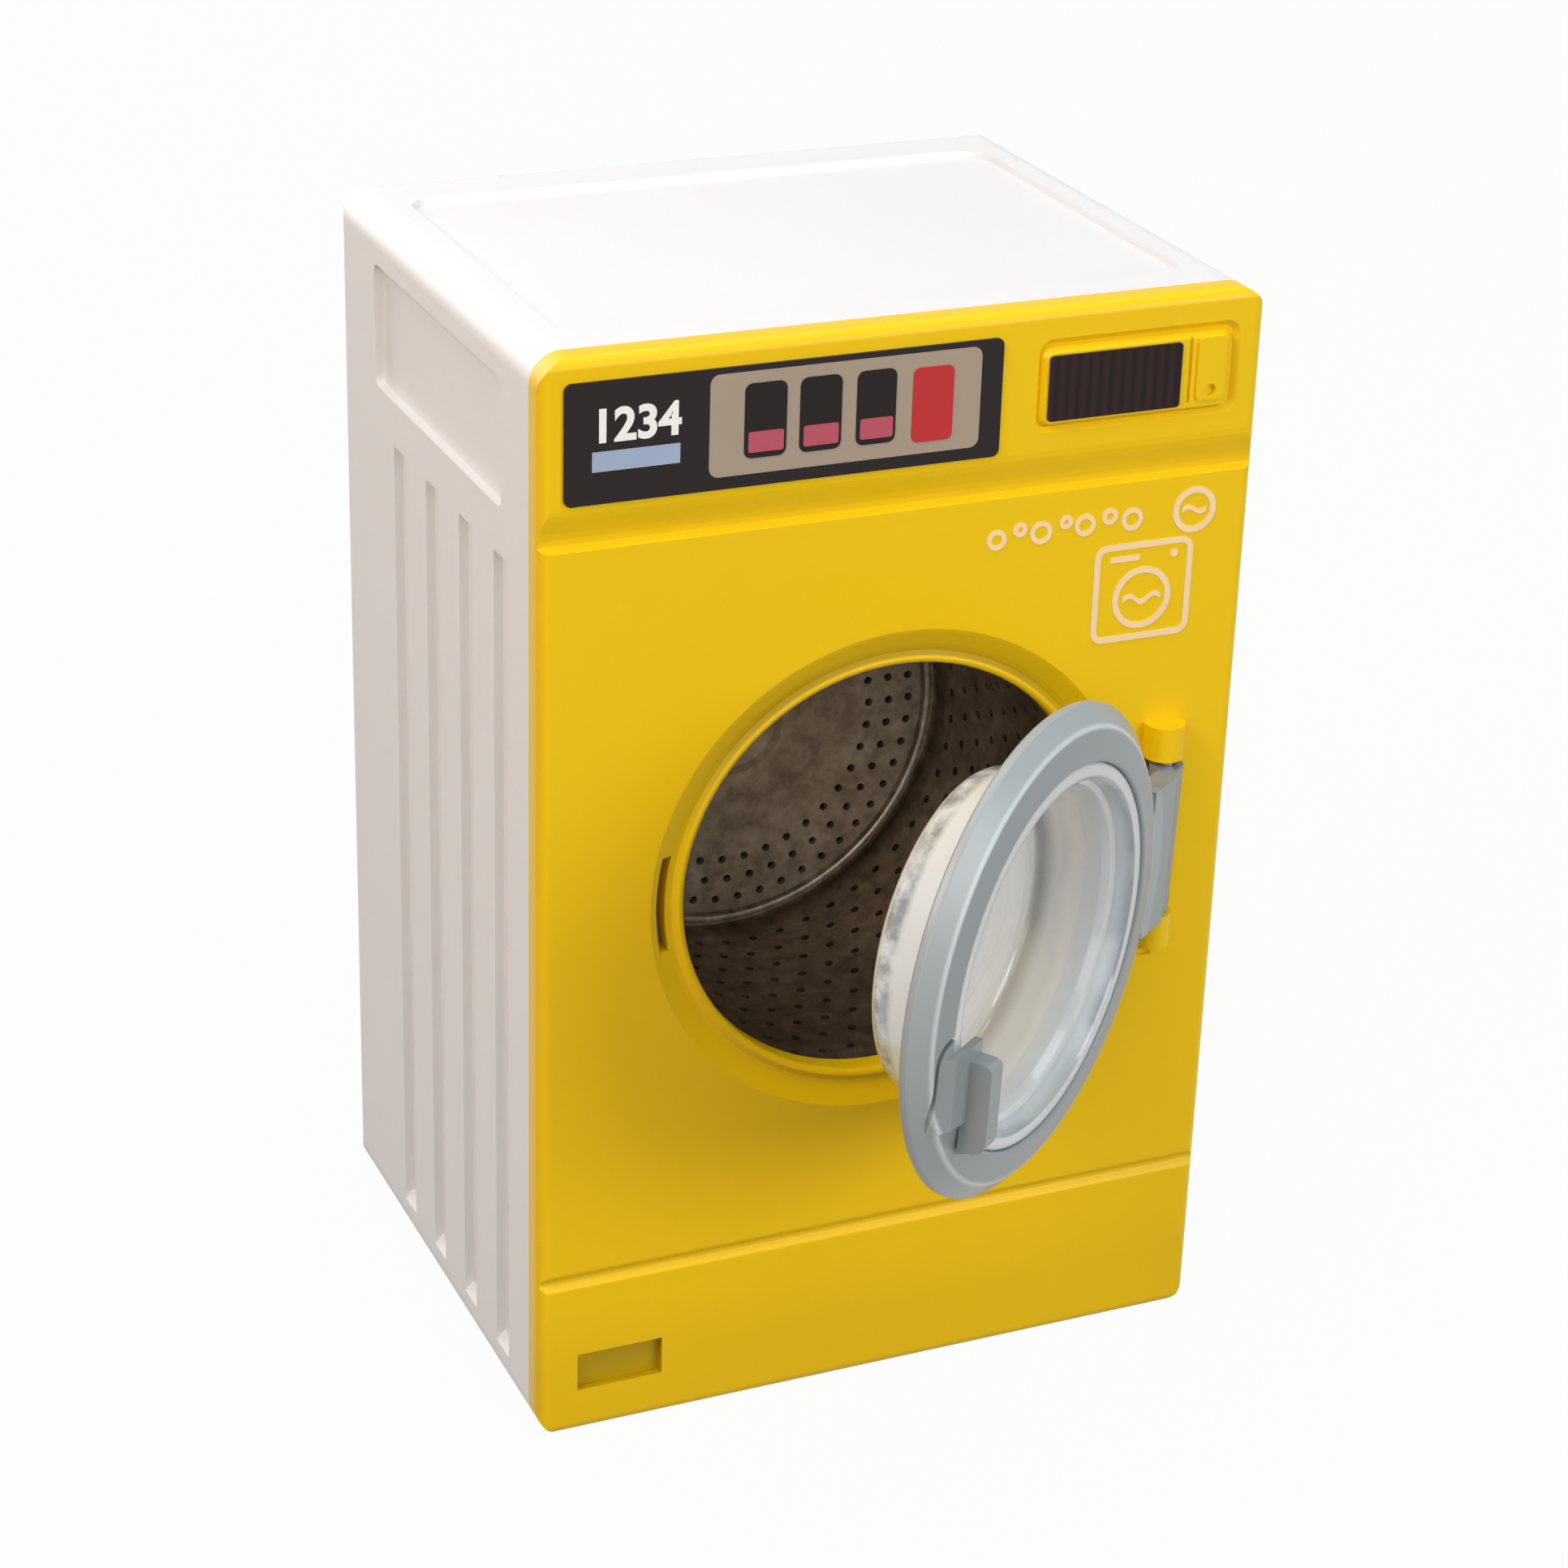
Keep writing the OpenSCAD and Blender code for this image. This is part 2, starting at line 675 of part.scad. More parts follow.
// Barrel round the pin and the arm that carries the ring, drawn closed.
module hinge_arm() {
    front = ring_back_d - arm_t;
    at_front() translate([hinge_x, hinge_d, barrel_z0])
        cylinder(h = barrel_l, r = barrel_r, $fn = small_fn);
    at_front() translate([0, 0, barrel_z0]) linear_extrude(height = barrel_l)
        polygon([[arm_root_x, ring_back_d], [hinge_x - barrel_r + 0.05, ring_back_d],
                 [hinge_x, hinge_d], [hinge_x - 0.2, hinge_d - barrel_r + 0.03],
                 [hinge_x - arm_neck, hinge_d - barrel_r], [hinge_x - 1.2, front],
                 [arm_root_x, front]]);
}

// Outline of the notch for the handle, smaller all round by gap, drawn
// closed from the notch's floor forward to height top_h.
module notch(gap, top_h) {
    u1 = notch_out - gap;
    w1 = notch_top - gap;
    at_front() translate([0, ring_back_d - notch_floor, door_z]) rotate([90, 0, 0])
        linear_extrude(height = top_h - notch_floor) union() {
            translate([-u1, notch_foot]) square([u1 - grip_in, w1 - notch_round - notch_foot]);
            translate([-u1 + notch_round, notch_foot]) square([u1 - notch_round - grip_in, w1 - notch_foot]);
            translate([-u1 + notch_round, w1 - notch_round]) circle(r = notch_round);
        }
}

// Handle: a plate flush in the notch, a web and the upright grip on its edge.
module door_handle() {
    color("slategray") {
        intersection() {
            ring_blank();
            hung() notch(handle_gap, ring_t + over);
        }
        hung() web();
        hung() grip();
    }
}

// Web that rises from the plate in the notch and crosses the window's rim.
module web() {
    low = notch_foot + 0.02;
    high = notch_top - 4 * handle_gap;
    top = web_h + handle_t;
    at_front() translate([0, ring_back_d, door_z + low]) linear_extrude(height = high - low)
        polygon([for (p = [[grip_in, web_h], [ring_hole_r + 0.15, web_h],
                           [ring_hole_r + 0.2, notch_floor + 0.1], [notch_out - 0.4, notch_floor + 0.1],
                           [notch_out - 0.4, ring_edge_h], [ring_hole_r + 0.1, top - 0.15],
                           [grip_in + grip_w, top], [grip_in, top]]) [-p[0], -p[1]]]);
}

// Upright grip: its profile of [height, w] points has rounded upper corners
// and slopes back to the ring at its foot.
module grip() {
    top_h = ring_t + grip_out;
    at_front() translate([-grip_in - grip_w, ring_back_d, door_z]) rotate([90, 0, 90])
        linear_extrude(height = grip_w)
        polygon(concat(
            [[-web_h, notch_foot + 0.02], [-ring_t - 0.02, notch_foot + 0.02],
             [-ring_t - 0.02, grip_foot]],
            arc(-top_h + 0.9, grip_foot + 1.1, 0.9, -90, -180),
            arc(-top_h + grip_round, grip_top - grip_round, grip_round, 180, 90),
            [[-web_h, grip_top]]));
}

// Clear window: flange, flat rim level with the ring and a deep round bowl.
module door_window() {
    end = -bowl_depth;
    inner_end_r = bowl_end_r - bowl_wall;
    neck_r = ring_hole_r - 0.05;
    rim_h = window_rim_h;
    color([0.85, 0.9, 0.95, 0.5]) door_turned() polygon(concat(
        [[0, end + bowl_wall - 0.1]],
        arc(inner_end_r - 0.5, end + bowl_wall + 0.5, 0.5, -90, -5),
        [[bowl_root_r - bowl_wall - 0.15, -0.1], [bowl_root_r - bowl_wall, 0.35],
         [bowl_root_r - 0.3, 0.5], [window_rim_r - 0.12, rim_h - 0.1], [window_rim_r, rim_h],
         [neck_r - 0.1, rim_h], [neck_r, rim_h - 0.1], [neck_r, counter_h],
         [flange_r, counter_h], [flange_r, 0],
         [bowl_root_r, 0], [bowl_root_r - 0.1, -0.9]],
        arc(bowl_end_r - bowl_round, end + bowl_round, bowl_round, -5, -90),
        [[0, end - 0.1]]));
}

// Ring that holds the window in from behind.
module door_back_ring() {
    color("slategray") door_turned() polygon([
        [bowl_root_r + 0.05, 0], [bowl_root_r + 0.05, -back_ring_t + 0.2],
        [bowl_root_r + 0.25, -back_ring_t], [back_ring_r - 0.3, -back_ring_t],
        [back_ring_r, -back_ring_t + 0.3], [back_ring_r, 0]]);
}

cabinet_shell();
front_panel();
back_cover();
cover_screws();
control_label();
display_label();
shaft_bush();
hinge_pin();
drum_shell();
drum_back_disc();
drum_shaft();
shaft_washer();
shaft_screw();
door_ring();
door_window();
door_back_ring();
door_handle();
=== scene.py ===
"""Looks of a toy front-loading washing machine: finishes, prints, light and camera."""

import logging
import math
from dataclasses import dataclass, field
from enum import Enum
from typing import Any, Callable, Iterable, Optional, Sequence

import bmesh
import bpy
from mathutils import Matrix, Vector

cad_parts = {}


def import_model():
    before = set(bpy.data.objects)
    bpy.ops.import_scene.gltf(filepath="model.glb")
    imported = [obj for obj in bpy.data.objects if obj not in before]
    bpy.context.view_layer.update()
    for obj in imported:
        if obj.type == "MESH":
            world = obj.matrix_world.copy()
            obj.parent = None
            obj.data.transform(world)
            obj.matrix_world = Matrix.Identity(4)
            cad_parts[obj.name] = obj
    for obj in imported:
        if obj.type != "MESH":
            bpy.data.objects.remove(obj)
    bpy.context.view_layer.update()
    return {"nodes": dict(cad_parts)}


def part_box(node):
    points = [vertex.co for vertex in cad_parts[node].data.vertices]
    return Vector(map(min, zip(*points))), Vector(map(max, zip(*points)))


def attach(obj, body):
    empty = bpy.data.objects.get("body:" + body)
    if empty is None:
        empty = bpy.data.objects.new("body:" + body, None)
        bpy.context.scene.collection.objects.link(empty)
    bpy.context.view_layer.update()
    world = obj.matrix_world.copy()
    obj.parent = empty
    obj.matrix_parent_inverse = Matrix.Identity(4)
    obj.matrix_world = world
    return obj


LOG = logging.getLogger("toy_washer")
MM: float = 0.001
Colour = tuple[float, float, float, float]
Triple = tuple[float, float, float]
PANEL_Y: float = -15.75
DOOR_CENTRE: Triple = (2.93, -25.13, 29.86)
DOOR_AXIS: Triple = (0.5874, -0.8085, -0.0349)
SEAT_CENTRE: Triple = (0.0, PANEL_Y, 30.3)
SEAT_AXIS: Triple = (0.0, -1.0, 0.0)
PLASTIC_IOR: float = 1.49
INK_MM: float = 0.04
GRAIN_STRENGTH: float = 0.5
LETTER_SWELL: float = 0.03
UPRIGHT: Matrix = Matrix.Rotation(math.pi / 2, 4, "X")
AIM: Triple = (0.0, 0.0, 0.03)


def srgb(red: float, green: float, blue: float) -> Colour:
    """Turns 0-255 screen values into a linear colour.

    Args:
        red: Red, 0 to 255.
        green: Green, 0 to 255.
        blue: Blue, 0 to 255.

    Returns:
        The linear RGBA colour.
    """
    def one(value: float) -> float:
        """Converts one channel."""
        v = value / 255
        return v / 12.92 if v <= 0.04045 else ((v + 0.055) / 1.055) ** 2.4
    return (one(red), one(green), one(blue), 1.0)


def shade(colour: Colour, factor: float) -> Colour:
    """Scales a colour's brightness, keeping it opaque."""
    return (colour[0] * factor, colour[1] * factor, colour[2] * factor, 1.0)


# ---------------------------------------------------------------- node tools


def fill_in(node: Any, values: dict[str, Any]) -> None:
    """Sets a node's plain inputs, by name."""
    for name, value in values.items():
        node.inputs[name].default_value = value


@dataclass
class NodeSheet:
    """A small helper for laying out the nodes of a material or a group."""

    tree: Any

    def add(self, kind: str, **values: Any) -> Any:
        """Adds a node and sets its attributes.

        Args:
            kind: The node's Blender type name.
            values: Attributes to set on the node.

        Returns:
            The new node.
        """
        node = self.tree.nodes.new(kind)
        for name, value in values.items():
            setattr(node, name, value)
        return node

    def join(self, source: Any, target: Any) -> None:
        """Links an output socket to an input socket."""
        self.tree.links.new(source, target)

    def place(self) -> Any:
        """Gives the point's place on the object, in metres."""
        return self.add("ShaderNodeTexCoord").outputs["Object"]

    def axes(self) -> Any:
        """Gives the X, Y and Z of the point's place, by name."""
        split = self.add("ShaderNodeSeparateXYZ")
        self.join(self.place(), split.inputs["Vector"])
        return split.outputs

    def maths(self, operation: str, first: Any, second: Any = None, third: Any = None) -> Any:
        """Adds a maths node fed by sockets or plain numbers.

        Args:
            operation: The maths operation.
            first: A socket or a number.
            second: A socket, a number, or nothing.
            third: A socket, a number, or nothing.

        Returns:
            The node's output socket.
        """
        node = self.add("ShaderNodeMath", operation=operation)
        for slot, value in enumerate((first, second, third)):
            if value is None:
                continue
            if isinstance(value, (int, float)):
                node.inputs[slot].default_value = value
            else:
                self.join(value, node.inputs[slot])
        return node.outputs[0]

    def clamp(self, value: Any, top: float = 1.0) -> Any:
        """Keeps a value between nought and a top."""
        return self.maths("MINIMUM", self.maths("MAXIMUM", value, 0.0), top)

    def ramp(self, source: Any, stops: Sequence[tuple[float, Colour]], reach: float = 1.0) -> Any:
        """Turns a value into a colour.

        Args:
            source: The value's socket.
            stops: Values and the colours they give.
            reach: The value that the ramp's end stands for.

        Returns:
            The colour socket.
        """
        node = self.add("ShaderNodeValToRGB")
        elements = node.color_ramp.elements
        while len(elements) < len(stops):
            elements.new(0.5)
        for element, (value, colour) in zip(elements, stops):
            element.position = value / reach
            element.color = colour
        self.join(self.maths("DIVIDE", source, reach), node.inputs["Fac"])
        return node.outputs["Color"]

    def blend(self, kind: str, first: Any, second: Any, factor: Any = 1.0) -> Any:
        """Mixes two colours.

        Args:
            kind: The blend type.
            first: Colour socket below.
            second: Colour socket or plain colour above.
            factor: A socket or a number.

        Returns:
            The mixed colour's socket.
        """
        node = self.add("ShaderNodeMix", data_type="RGBA", blend_type=kind)
        for label, value in (("A", first), ("B", second), ("Factor", factor)):
            if isinstance(value, (int, float, tuple)):
                node.inputs[label].default_value = value
            else:
                self.join(value, node.inputs[label])
        return node.outputs["Result"]

    def noise(self, scale: float, detail: float, roughness: float = 0.5) -> Any:
        """Adds a noise pattern fixed to the object and returns its value."""
        node = self.add("ShaderNodeTexNoise")
        fill_in(node, {"Scale": scale, "Detail": detail, "Roughness": roughness})
        self.join(self.place(), node.inputs["Vector"])
        return node.outputs["Fac"]

    def group(self, tree: Any, values: Optional[dict[str, float]] = None) -> Any:
        """Places a shader group.

        Args:
            tree: The group.
            values: Values for its inputs, by name.

        Returns:
            The group's output sockets.
        """
        node = self.add("ShaderNodeGroup", node_tree=tree)
        fill_in(node, values or {})
        return node.outputs

    def bump(self, height: Any, strength: float, depth_mm: float, shader: Any) -> None:
        """Gives a shader the small relief of a height pattern.

        Args:
            height: The pattern's socket.
            strength: How strongly it shows.
            depth_mm: Its depth, in millimetres.
            shader: The shader node.
        """
        node = self.add("ShaderNodeBump")
        fill_in(node, {"Strength": strength, "Distance": depth_mm * MM})
        self.join(height, node.inputs["Height"])
        self.join(node.outputs["Normal"], shader.inputs["Normal"])




def grey(level: float) -> Colour:
    """Gives a neutral linear colour."""
    return (level, level, level, 1.0)


def cool(level: float) -> Colour:
    """Gives a grey that leans to blue."""
    return (level * 0.96, level * 0.98, level, 1.0)


class GroupName(Enum):
    """The shader groups that the finishes use."""

    GRAIN = "moulding grain"
    HAZE = "handling haze"
    DOOR_PLACE = "place round the door's axis"
    SEAT_PLACE = "place round the opening's axis"


def new_group(name: GroupName, inputs: Sequence[tuple[str, float]],
              outputs: Sequence[str]) -> tuple[Any, Any, Any, NodeSheet]:
    """Makes an empty shader group with float sockets.

    Args:
        name: Which group.
        inputs: Names and defaults of its float inputs.
        outputs: Names of its float outputs.

    Returns:
        The group, its input node, its output node and a helper for its tree.
    """
    group = bpy.data.node_groups.new(name.value, "ShaderNodeTree")
    for label, default in inputs:
        socket = group.interface.new_socket(name=label, in_out="INPUT",
                                            socket_type="NodeSocketFloat")
        socket.default_value = default
    for label in outputs:
        group.interface.new_socket(name=label, in_out="OUTPUT", socket_type="NodeSocketFloat")
    sheet = NodeSheet(group)
    return group, sheet.add("NodeGroupInput"), sheet.add("NodeGroupOutput"), sheet


def grain_group() -> Any:
    """Builds the group that gives fine moulded grain.

    Returns:
        The node group: a height and a slow brightness mask.
    """
    known = bpy.data.node_groups.get(GroupName.GRAIN.value)
    if known:
        return known
    group, source, sink, sheet = new_group(
        GroupName.GRAIN, (("Grain Scale", 9000.0), ("Flow Scale", 90.0)), ("Height", "Flow"))
    fine = sheet.add("ShaderNodeTexNoise")
    fine.inputs["Detail"].default_value = 2.0
    slow = sheet.add("ShaderNodeTexNoise")
    slow.inputs["Detail"].default_value = 3.0
    for noise, label in ((fine, "Grain Scale"), (slow, "Flow Scale")):
        sheet.join(sheet.place(), noise.inputs["Vector"])
        sheet.join(source.outputs[label], noise.inputs["Scale"])
    sheet.join(fine.outputs["Fac"], sink.inputs["Height"])
    sheet.join(slow.outputs["Fac"], sink.inputs["Flow"])
    return group


def haze_group() -> Any:
    """Builds the group that roughens a surface in soft patches.

    Returns:
        The node group: a roughness value from a base and an amount.
    """
    known = bpy.data.node_groups.get(GroupName.HAZE.value)
    if known:
        return known
    group, source, sink, sheet = new_group(
        GroupName.HAZE, (("Base", 0.3), ("Amount", 0.1), ("Patch Scale", 160.0)), ("Roughness",))
    noise = sheet.add("ShaderNodeTexNoise")
    noise.inputs["Detail"].default_value = 4.0
    sheet.join(sheet.place(), noise.inputs["Vector"])
    sheet.join(source.outputs["Patch Scale"], noise.inputs["Scale"])
    centred = sheet.maths("SUBTRACT", noise.outputs["Fac"], 0.5)
    swing = sheet.maths("MULTIPLY", centred, source.outputs["Amount"])
    sheet.join(sheet.maths("ADD", swing, source.outputs["Base"]), sink.inputs["Roughness"])
    return group


def turned_group(name: GroupName, centre_mm: Sequence[float], axis: Sequence[float]) -> Any:
    """Builds the group that places a point round an axis.

    Args:
        name: Which group.
        centre_mm: A point on the axis, in millimetres.
        axis: Direction of the axis.

    Returns:
        The node group: distance from the axis and height along it, in millimetres.
    """
    known = bpy.data.node_groups.get(name.value)
    if known:
        return known
    group, _, sink, sheet = new_group(name, (), ("Distance", "Height"))
    offset = sheet.add("ShaderNodeVectorMath", operation="SUBTRACT")
    offset.inputs[1].default_value = [v * MM for v in centre_mm]
    sheet.join(sheet.place(), offset.inputs[0])
    for operation, reading, label in (("CROSS_PRODUCT", "Vector", "Distance"),
                                      ("DOT_PRODUCT", "Value", "Height")):
        measure = sheet.add("ShaderNodeVectorMath", operation=operation)
        measure.inputs[1].default_value = Vector(axis).normalized()
        sheet.join(offset.outputs["Vector"], measure.inputs[0])
        value = measure.outputs[reading]
        if operation == "CROSS_PRODUCT":
            length = sheet.add("ShaderNodeVectorMath", operation="LENGTH")
            sheet.join(value, length.inputs[0])
            value = length.outputs["Value"]
        sheet.join(sheet.maths("DIVIDE", value, MM), sink.inputs[label])
    return group


@dataclass(frozen=True)
class Finish:
    """What every finish has: a name, and a way to become a material."""

    name: str

    def start(self) -> tuple[Any, NodeSheet, Any]:
        """Makes an empty material with a Principled shader.

        Returns:
            The material, a helper for its tree and the shader node.
        """
        material = bpy.data.materials.new(self.name)
        material.use_nodes = True
        material.node_tree.nodes.clear()
        sheet = NodeSheet(material.node_tree)
        shader = sheet.add("ShaderNodeBsdfPrincipled")
        sink = sheet.add("ShaderNodeOutputMaterial")
        sheet.join(shader.outputs["BSDF"], sink.inputs["Surface"])
        return material, sheet, shader

    def mottle(self, sheet: NodeSheet, shader: Any, low: Colour, high: Colour,
               grain: float, flow: float, bump_mm: float, roughness: float,
               haze: float) -> Any:
        """Feeds a shader with grain and uneven gloss, and makes a slow colour change.

        Args:
            sheet: Helper for the material's tree.
            shader: The Principled node.
            low: Colour where the slow pattern is low.
            high: Colour where it is high.
            grain: Scale of the fine grain.
            flow: Scale of the slow colour change.
            bump_mm: Height of the grain, in millimetres.
            roughness: Middle roughness.
            haze: How far roughness swings.

        Returns:
            The colour's socket, which the finish changes further and joins.
        """
        texture = sheet.group(grain_group(), {"Grain Scale": grain, "Flow Scale": flow})
        sheet.bump(texture["Height"], GRAIN_STRENGTH, bump_mm, shader)
        patches = sheet.group(haze_group(), {"Base": roughness, "Amount": haze})
        sheet.join(patches["Roughness"], shader.inputs["Roughness"])
        return sheet.blend("MIX", low, high, texture["Flow"])

    def build(self) -> Any:
        """Makes the material."""
        raise NotImplementedError


@dataclass(frozen=True)
class MouldedPlastic(Finish):
    """Injection-moulded plastic with a soft grain and uneven gloss."""

    colour: Colour
    roughness: float = 0.34
    haze: float = 0.12
    bump_mm: float = 0.004
    variation: float = 0.05
    coat: float = 0.0
    glow: float = 0.0
    shine: float = 0.35

    def build(self) -> Any:
        """Makes the plastic material.

        Returns:
            The material.
        """
        material, sheet, shader = self.start()
        colour = self.mottle(sheet, shader, shade(self.colour, 1 - self.variation),
                             shade(self.colour, 1 + self.variation), 5200.0, 75.0,
                             self.bump_mm, self.roughness, self.haze)
        sheet.join(self.tone(sheet, colour), shader.inputs["Base Color"])
        fill_in(shader, {"IOR": PLASTIC_IOR, "Specular IOR Level": self.shine,
                         "Coat Weight": self.coat, "Coat Roughness": 0.12})
        if self.glow:
            fill_in(shader, {"Subsurface Weight": self.glow,
                             "Subsurface Radius": (1.0, 0.6, 0.2),
                             "Subsurface Scale": 0.6 * MM})
        return material

    def tone(self, sheet: NodeSheet, colour: Any) -> Any:
        """Paints light or shade onto the colour from place to place; plain plastic leaves it
        alone.
        """
        return colour


@dataclass(frozen=True)
class PrintedLabel(Finish):
    """Glossy printed film: flat ink under a thin clear coat."""

    colour: Colour
    roughness: float = 0.3
    stripe_pitch: float = 0.0
    stripe_colour: Colour = (0.1, 0.1, 0.1, 1.0)

    def build(self) -> Any:
        """Makes the label material, striped where a pitch is given.

        Returns:
            The material.
        """
        material, sheet, shader = self.start()
        colour = self.mottle(sheet, shader, shade(self.colour, 0.94), shade(self.colour, 1.06),
                             7000.0, 140.0, 0.002, self.roughness, 0.08)
        if self.stripe_pitch:
            colour = self._stripes(sheet)
        sheet.join(colour, shader.inputs["Base Color"])
        fill_in(shader, {"Specular IOR Level": 0.16, "Coat Weight": 0.08,
                         "Coat Roughness": 0.15})
        return material

    def _stripes(self, sheet: NodeSheet) -> Any:
        """Gives the ink's colour in fine upright stripes."""
        wave = sheet.maths("SINE", sheet.maths("MULTIPLY", sheet.axes()["X"],
                                               2 * math.pi / self.stripe_pitch))
        level = sheet.maths("MULTIPLY", sheet.maths("ADD", wave, 1.0), 0.5)
        return sheet.blend("MIX", self.colour, self.stripe_colour, level)


@dataclass(frozen=True)
class SheetMetal(Finish):
    """Dull pressed sheet metal, stained in spots and soft patches."""

    light: Colour
    dark: Colour
    roughness: float = 0.38
    spots: float = 0.0
    metallic: float = 1.0

    def build(self) -> Any:
        """Makes the metal material, spotted where asked.

        Returns:
            The material.
        """
        material, sheet, shader = self.start()
        colour = self.mottle(sheet, shader, self.dark, self.light, 4200.0, 210.0, 0.006,
                             self.roughness, 0.25)
        if self.spots:
            colour = sheet.blend("MULTIPLY", colour, self._spots(sheet))
        sheet.join(colour, shader.inputs["Base Color"])
        fill_in(shader, {"Metallic": self.metallic})
        return material

    def _spots(self, sheet: NodeSheet) -> Any:
        """Gives the tone of small uneven stains."""
        low = 1 - self.spots
        return sheet.ramp(sheet.noise(900.0, 5.0, 0.7),
                          ((0.36, (low, low * 0.96, low * 0.92, 1.0)), (0.62, grey(1.0))))


@dataclass(frozen=True)
class PanelPlastic(MouldedPlastic):
    """Moulded plastic of the front, with painted shade high in the seat, at the foot and in the
    tag.

    The seat's stops are distances from the opening's axis in millimetres, the foot's are
    heights in metres. The seat's painted shade fades in from a height above the opening's middle.
    """

    # Painted shade of the seat's inner wall and cone, as tone multipliers by distance.
    seat: tuple[tuple[float, Colour], ...] = (
        (0.0, grey(1.0)), (11.9, grey(1.0)), (12.0, grey(0.52)), (12.3, grey(0.56)),
        (12.6, grey(0.8)), (13.3, grey(0.86)), (13.5, grey(1.0)))
    seat_reach: float = 40.0
    fade_from: float = 2.0
    fade: float = 8.0
    # Painted shade, darker towards the foot of the front.
    foot: tuple[tuple[float, Colour], ...] = ((5.6 * MM, grey(0.93)), (6.6 * MM, grey(1.0)))
    # Painted shade in the sunk tag: its place, half size and tone.
    tag_place: tuple[float, float] = (-14.9, 3.7)
    tag_half: tuple[float, float] = (2.4, 1.1)
    tag_painted_shade: float = 0.6

    def tone(self, sheet: NodeSheet, colour: Any) -> Any:
        """Paints shade onto the seat's upper part, the foot and the tag.

        Args:
            sheet: Helper for the material's tree.
            colour: The plastic's colour.

        Returns:
            The changed colour's socket.
        """
        axes = sheet.axes()
        turned = sheet.group(turned_group(GroupName.SEAT_PLACE, SEAT_CENTRE, SEAT_AXIS))
        # Painted shade in the seat, fading in above the opening's middle.
        painted_seat_shade = sheet.ramp(turned["Distance"], self.seat, self.seat_reach)
        high = sheet.clamp(sheet.maths("SUBTRACT",
                                       sheet.maths("DIVIDE", axes["Z"], self.fade * MM),
                                       (SEAT_CENTRE[2] + self.fade_from) / self.fade))
        colour = sheet.blend("MULTIPLY", colour, painted_seat_shade, high)
        # Painted shade at the foot of the front.
        colour = sheet.blend("MULTIPLY", colour, sheet.ramp(axes["Z"], self.foot))
        # Painted shade inside the sunk tag.
        near = [sheet.maths("COMPARE", axes[axis], middle * MM, half * MM)
                for axis, middle, half in zip("XZ", self.tag_place, self.tag_half)]
        return sheet.blend("MULTIPLY", colour, grey(self.tag_painted_shade),
                           sheet.maths("MULTIPLY", *near))


@dataclass(frozen=True)
class RingPlastic(MouldedPlastic):
    """Moulded plastic of the door ring, with a painted highlight on its bevel and a painted
    highlight line along its edge.

    The stops are distances from the door's axis, in millimetres.
    """

    # Painted highlights: a bright line along the edge and a lighter band over the bevel.
    bevel: tuple[tuple[float, Colour], ...] = (
        (0.0, grey(1.0)), (11.76, grey(1.0)), (11.85, grey(2.0)), (11.98, grey(2.0)),
        (12.08, grey(1.22)), (13.0, grey(1.22)), (13.2, grey(1.0)))
    reach: float = 20.0

    def tone(self, sheet: NodeSheet, colour: Any) -> Any:
        """Paints a highlight on the bevel and a brighter one on the edge above it."""
        turned = sheet.group(turned_group(GroupName.DOOR_PLACE, DOOR_CENTRE, DOOR_AXIS))
        return sheet.blend("MULTIPLY", colour,
                           sheet.ramp(turned["Distance"], self.bevel, self.reach))


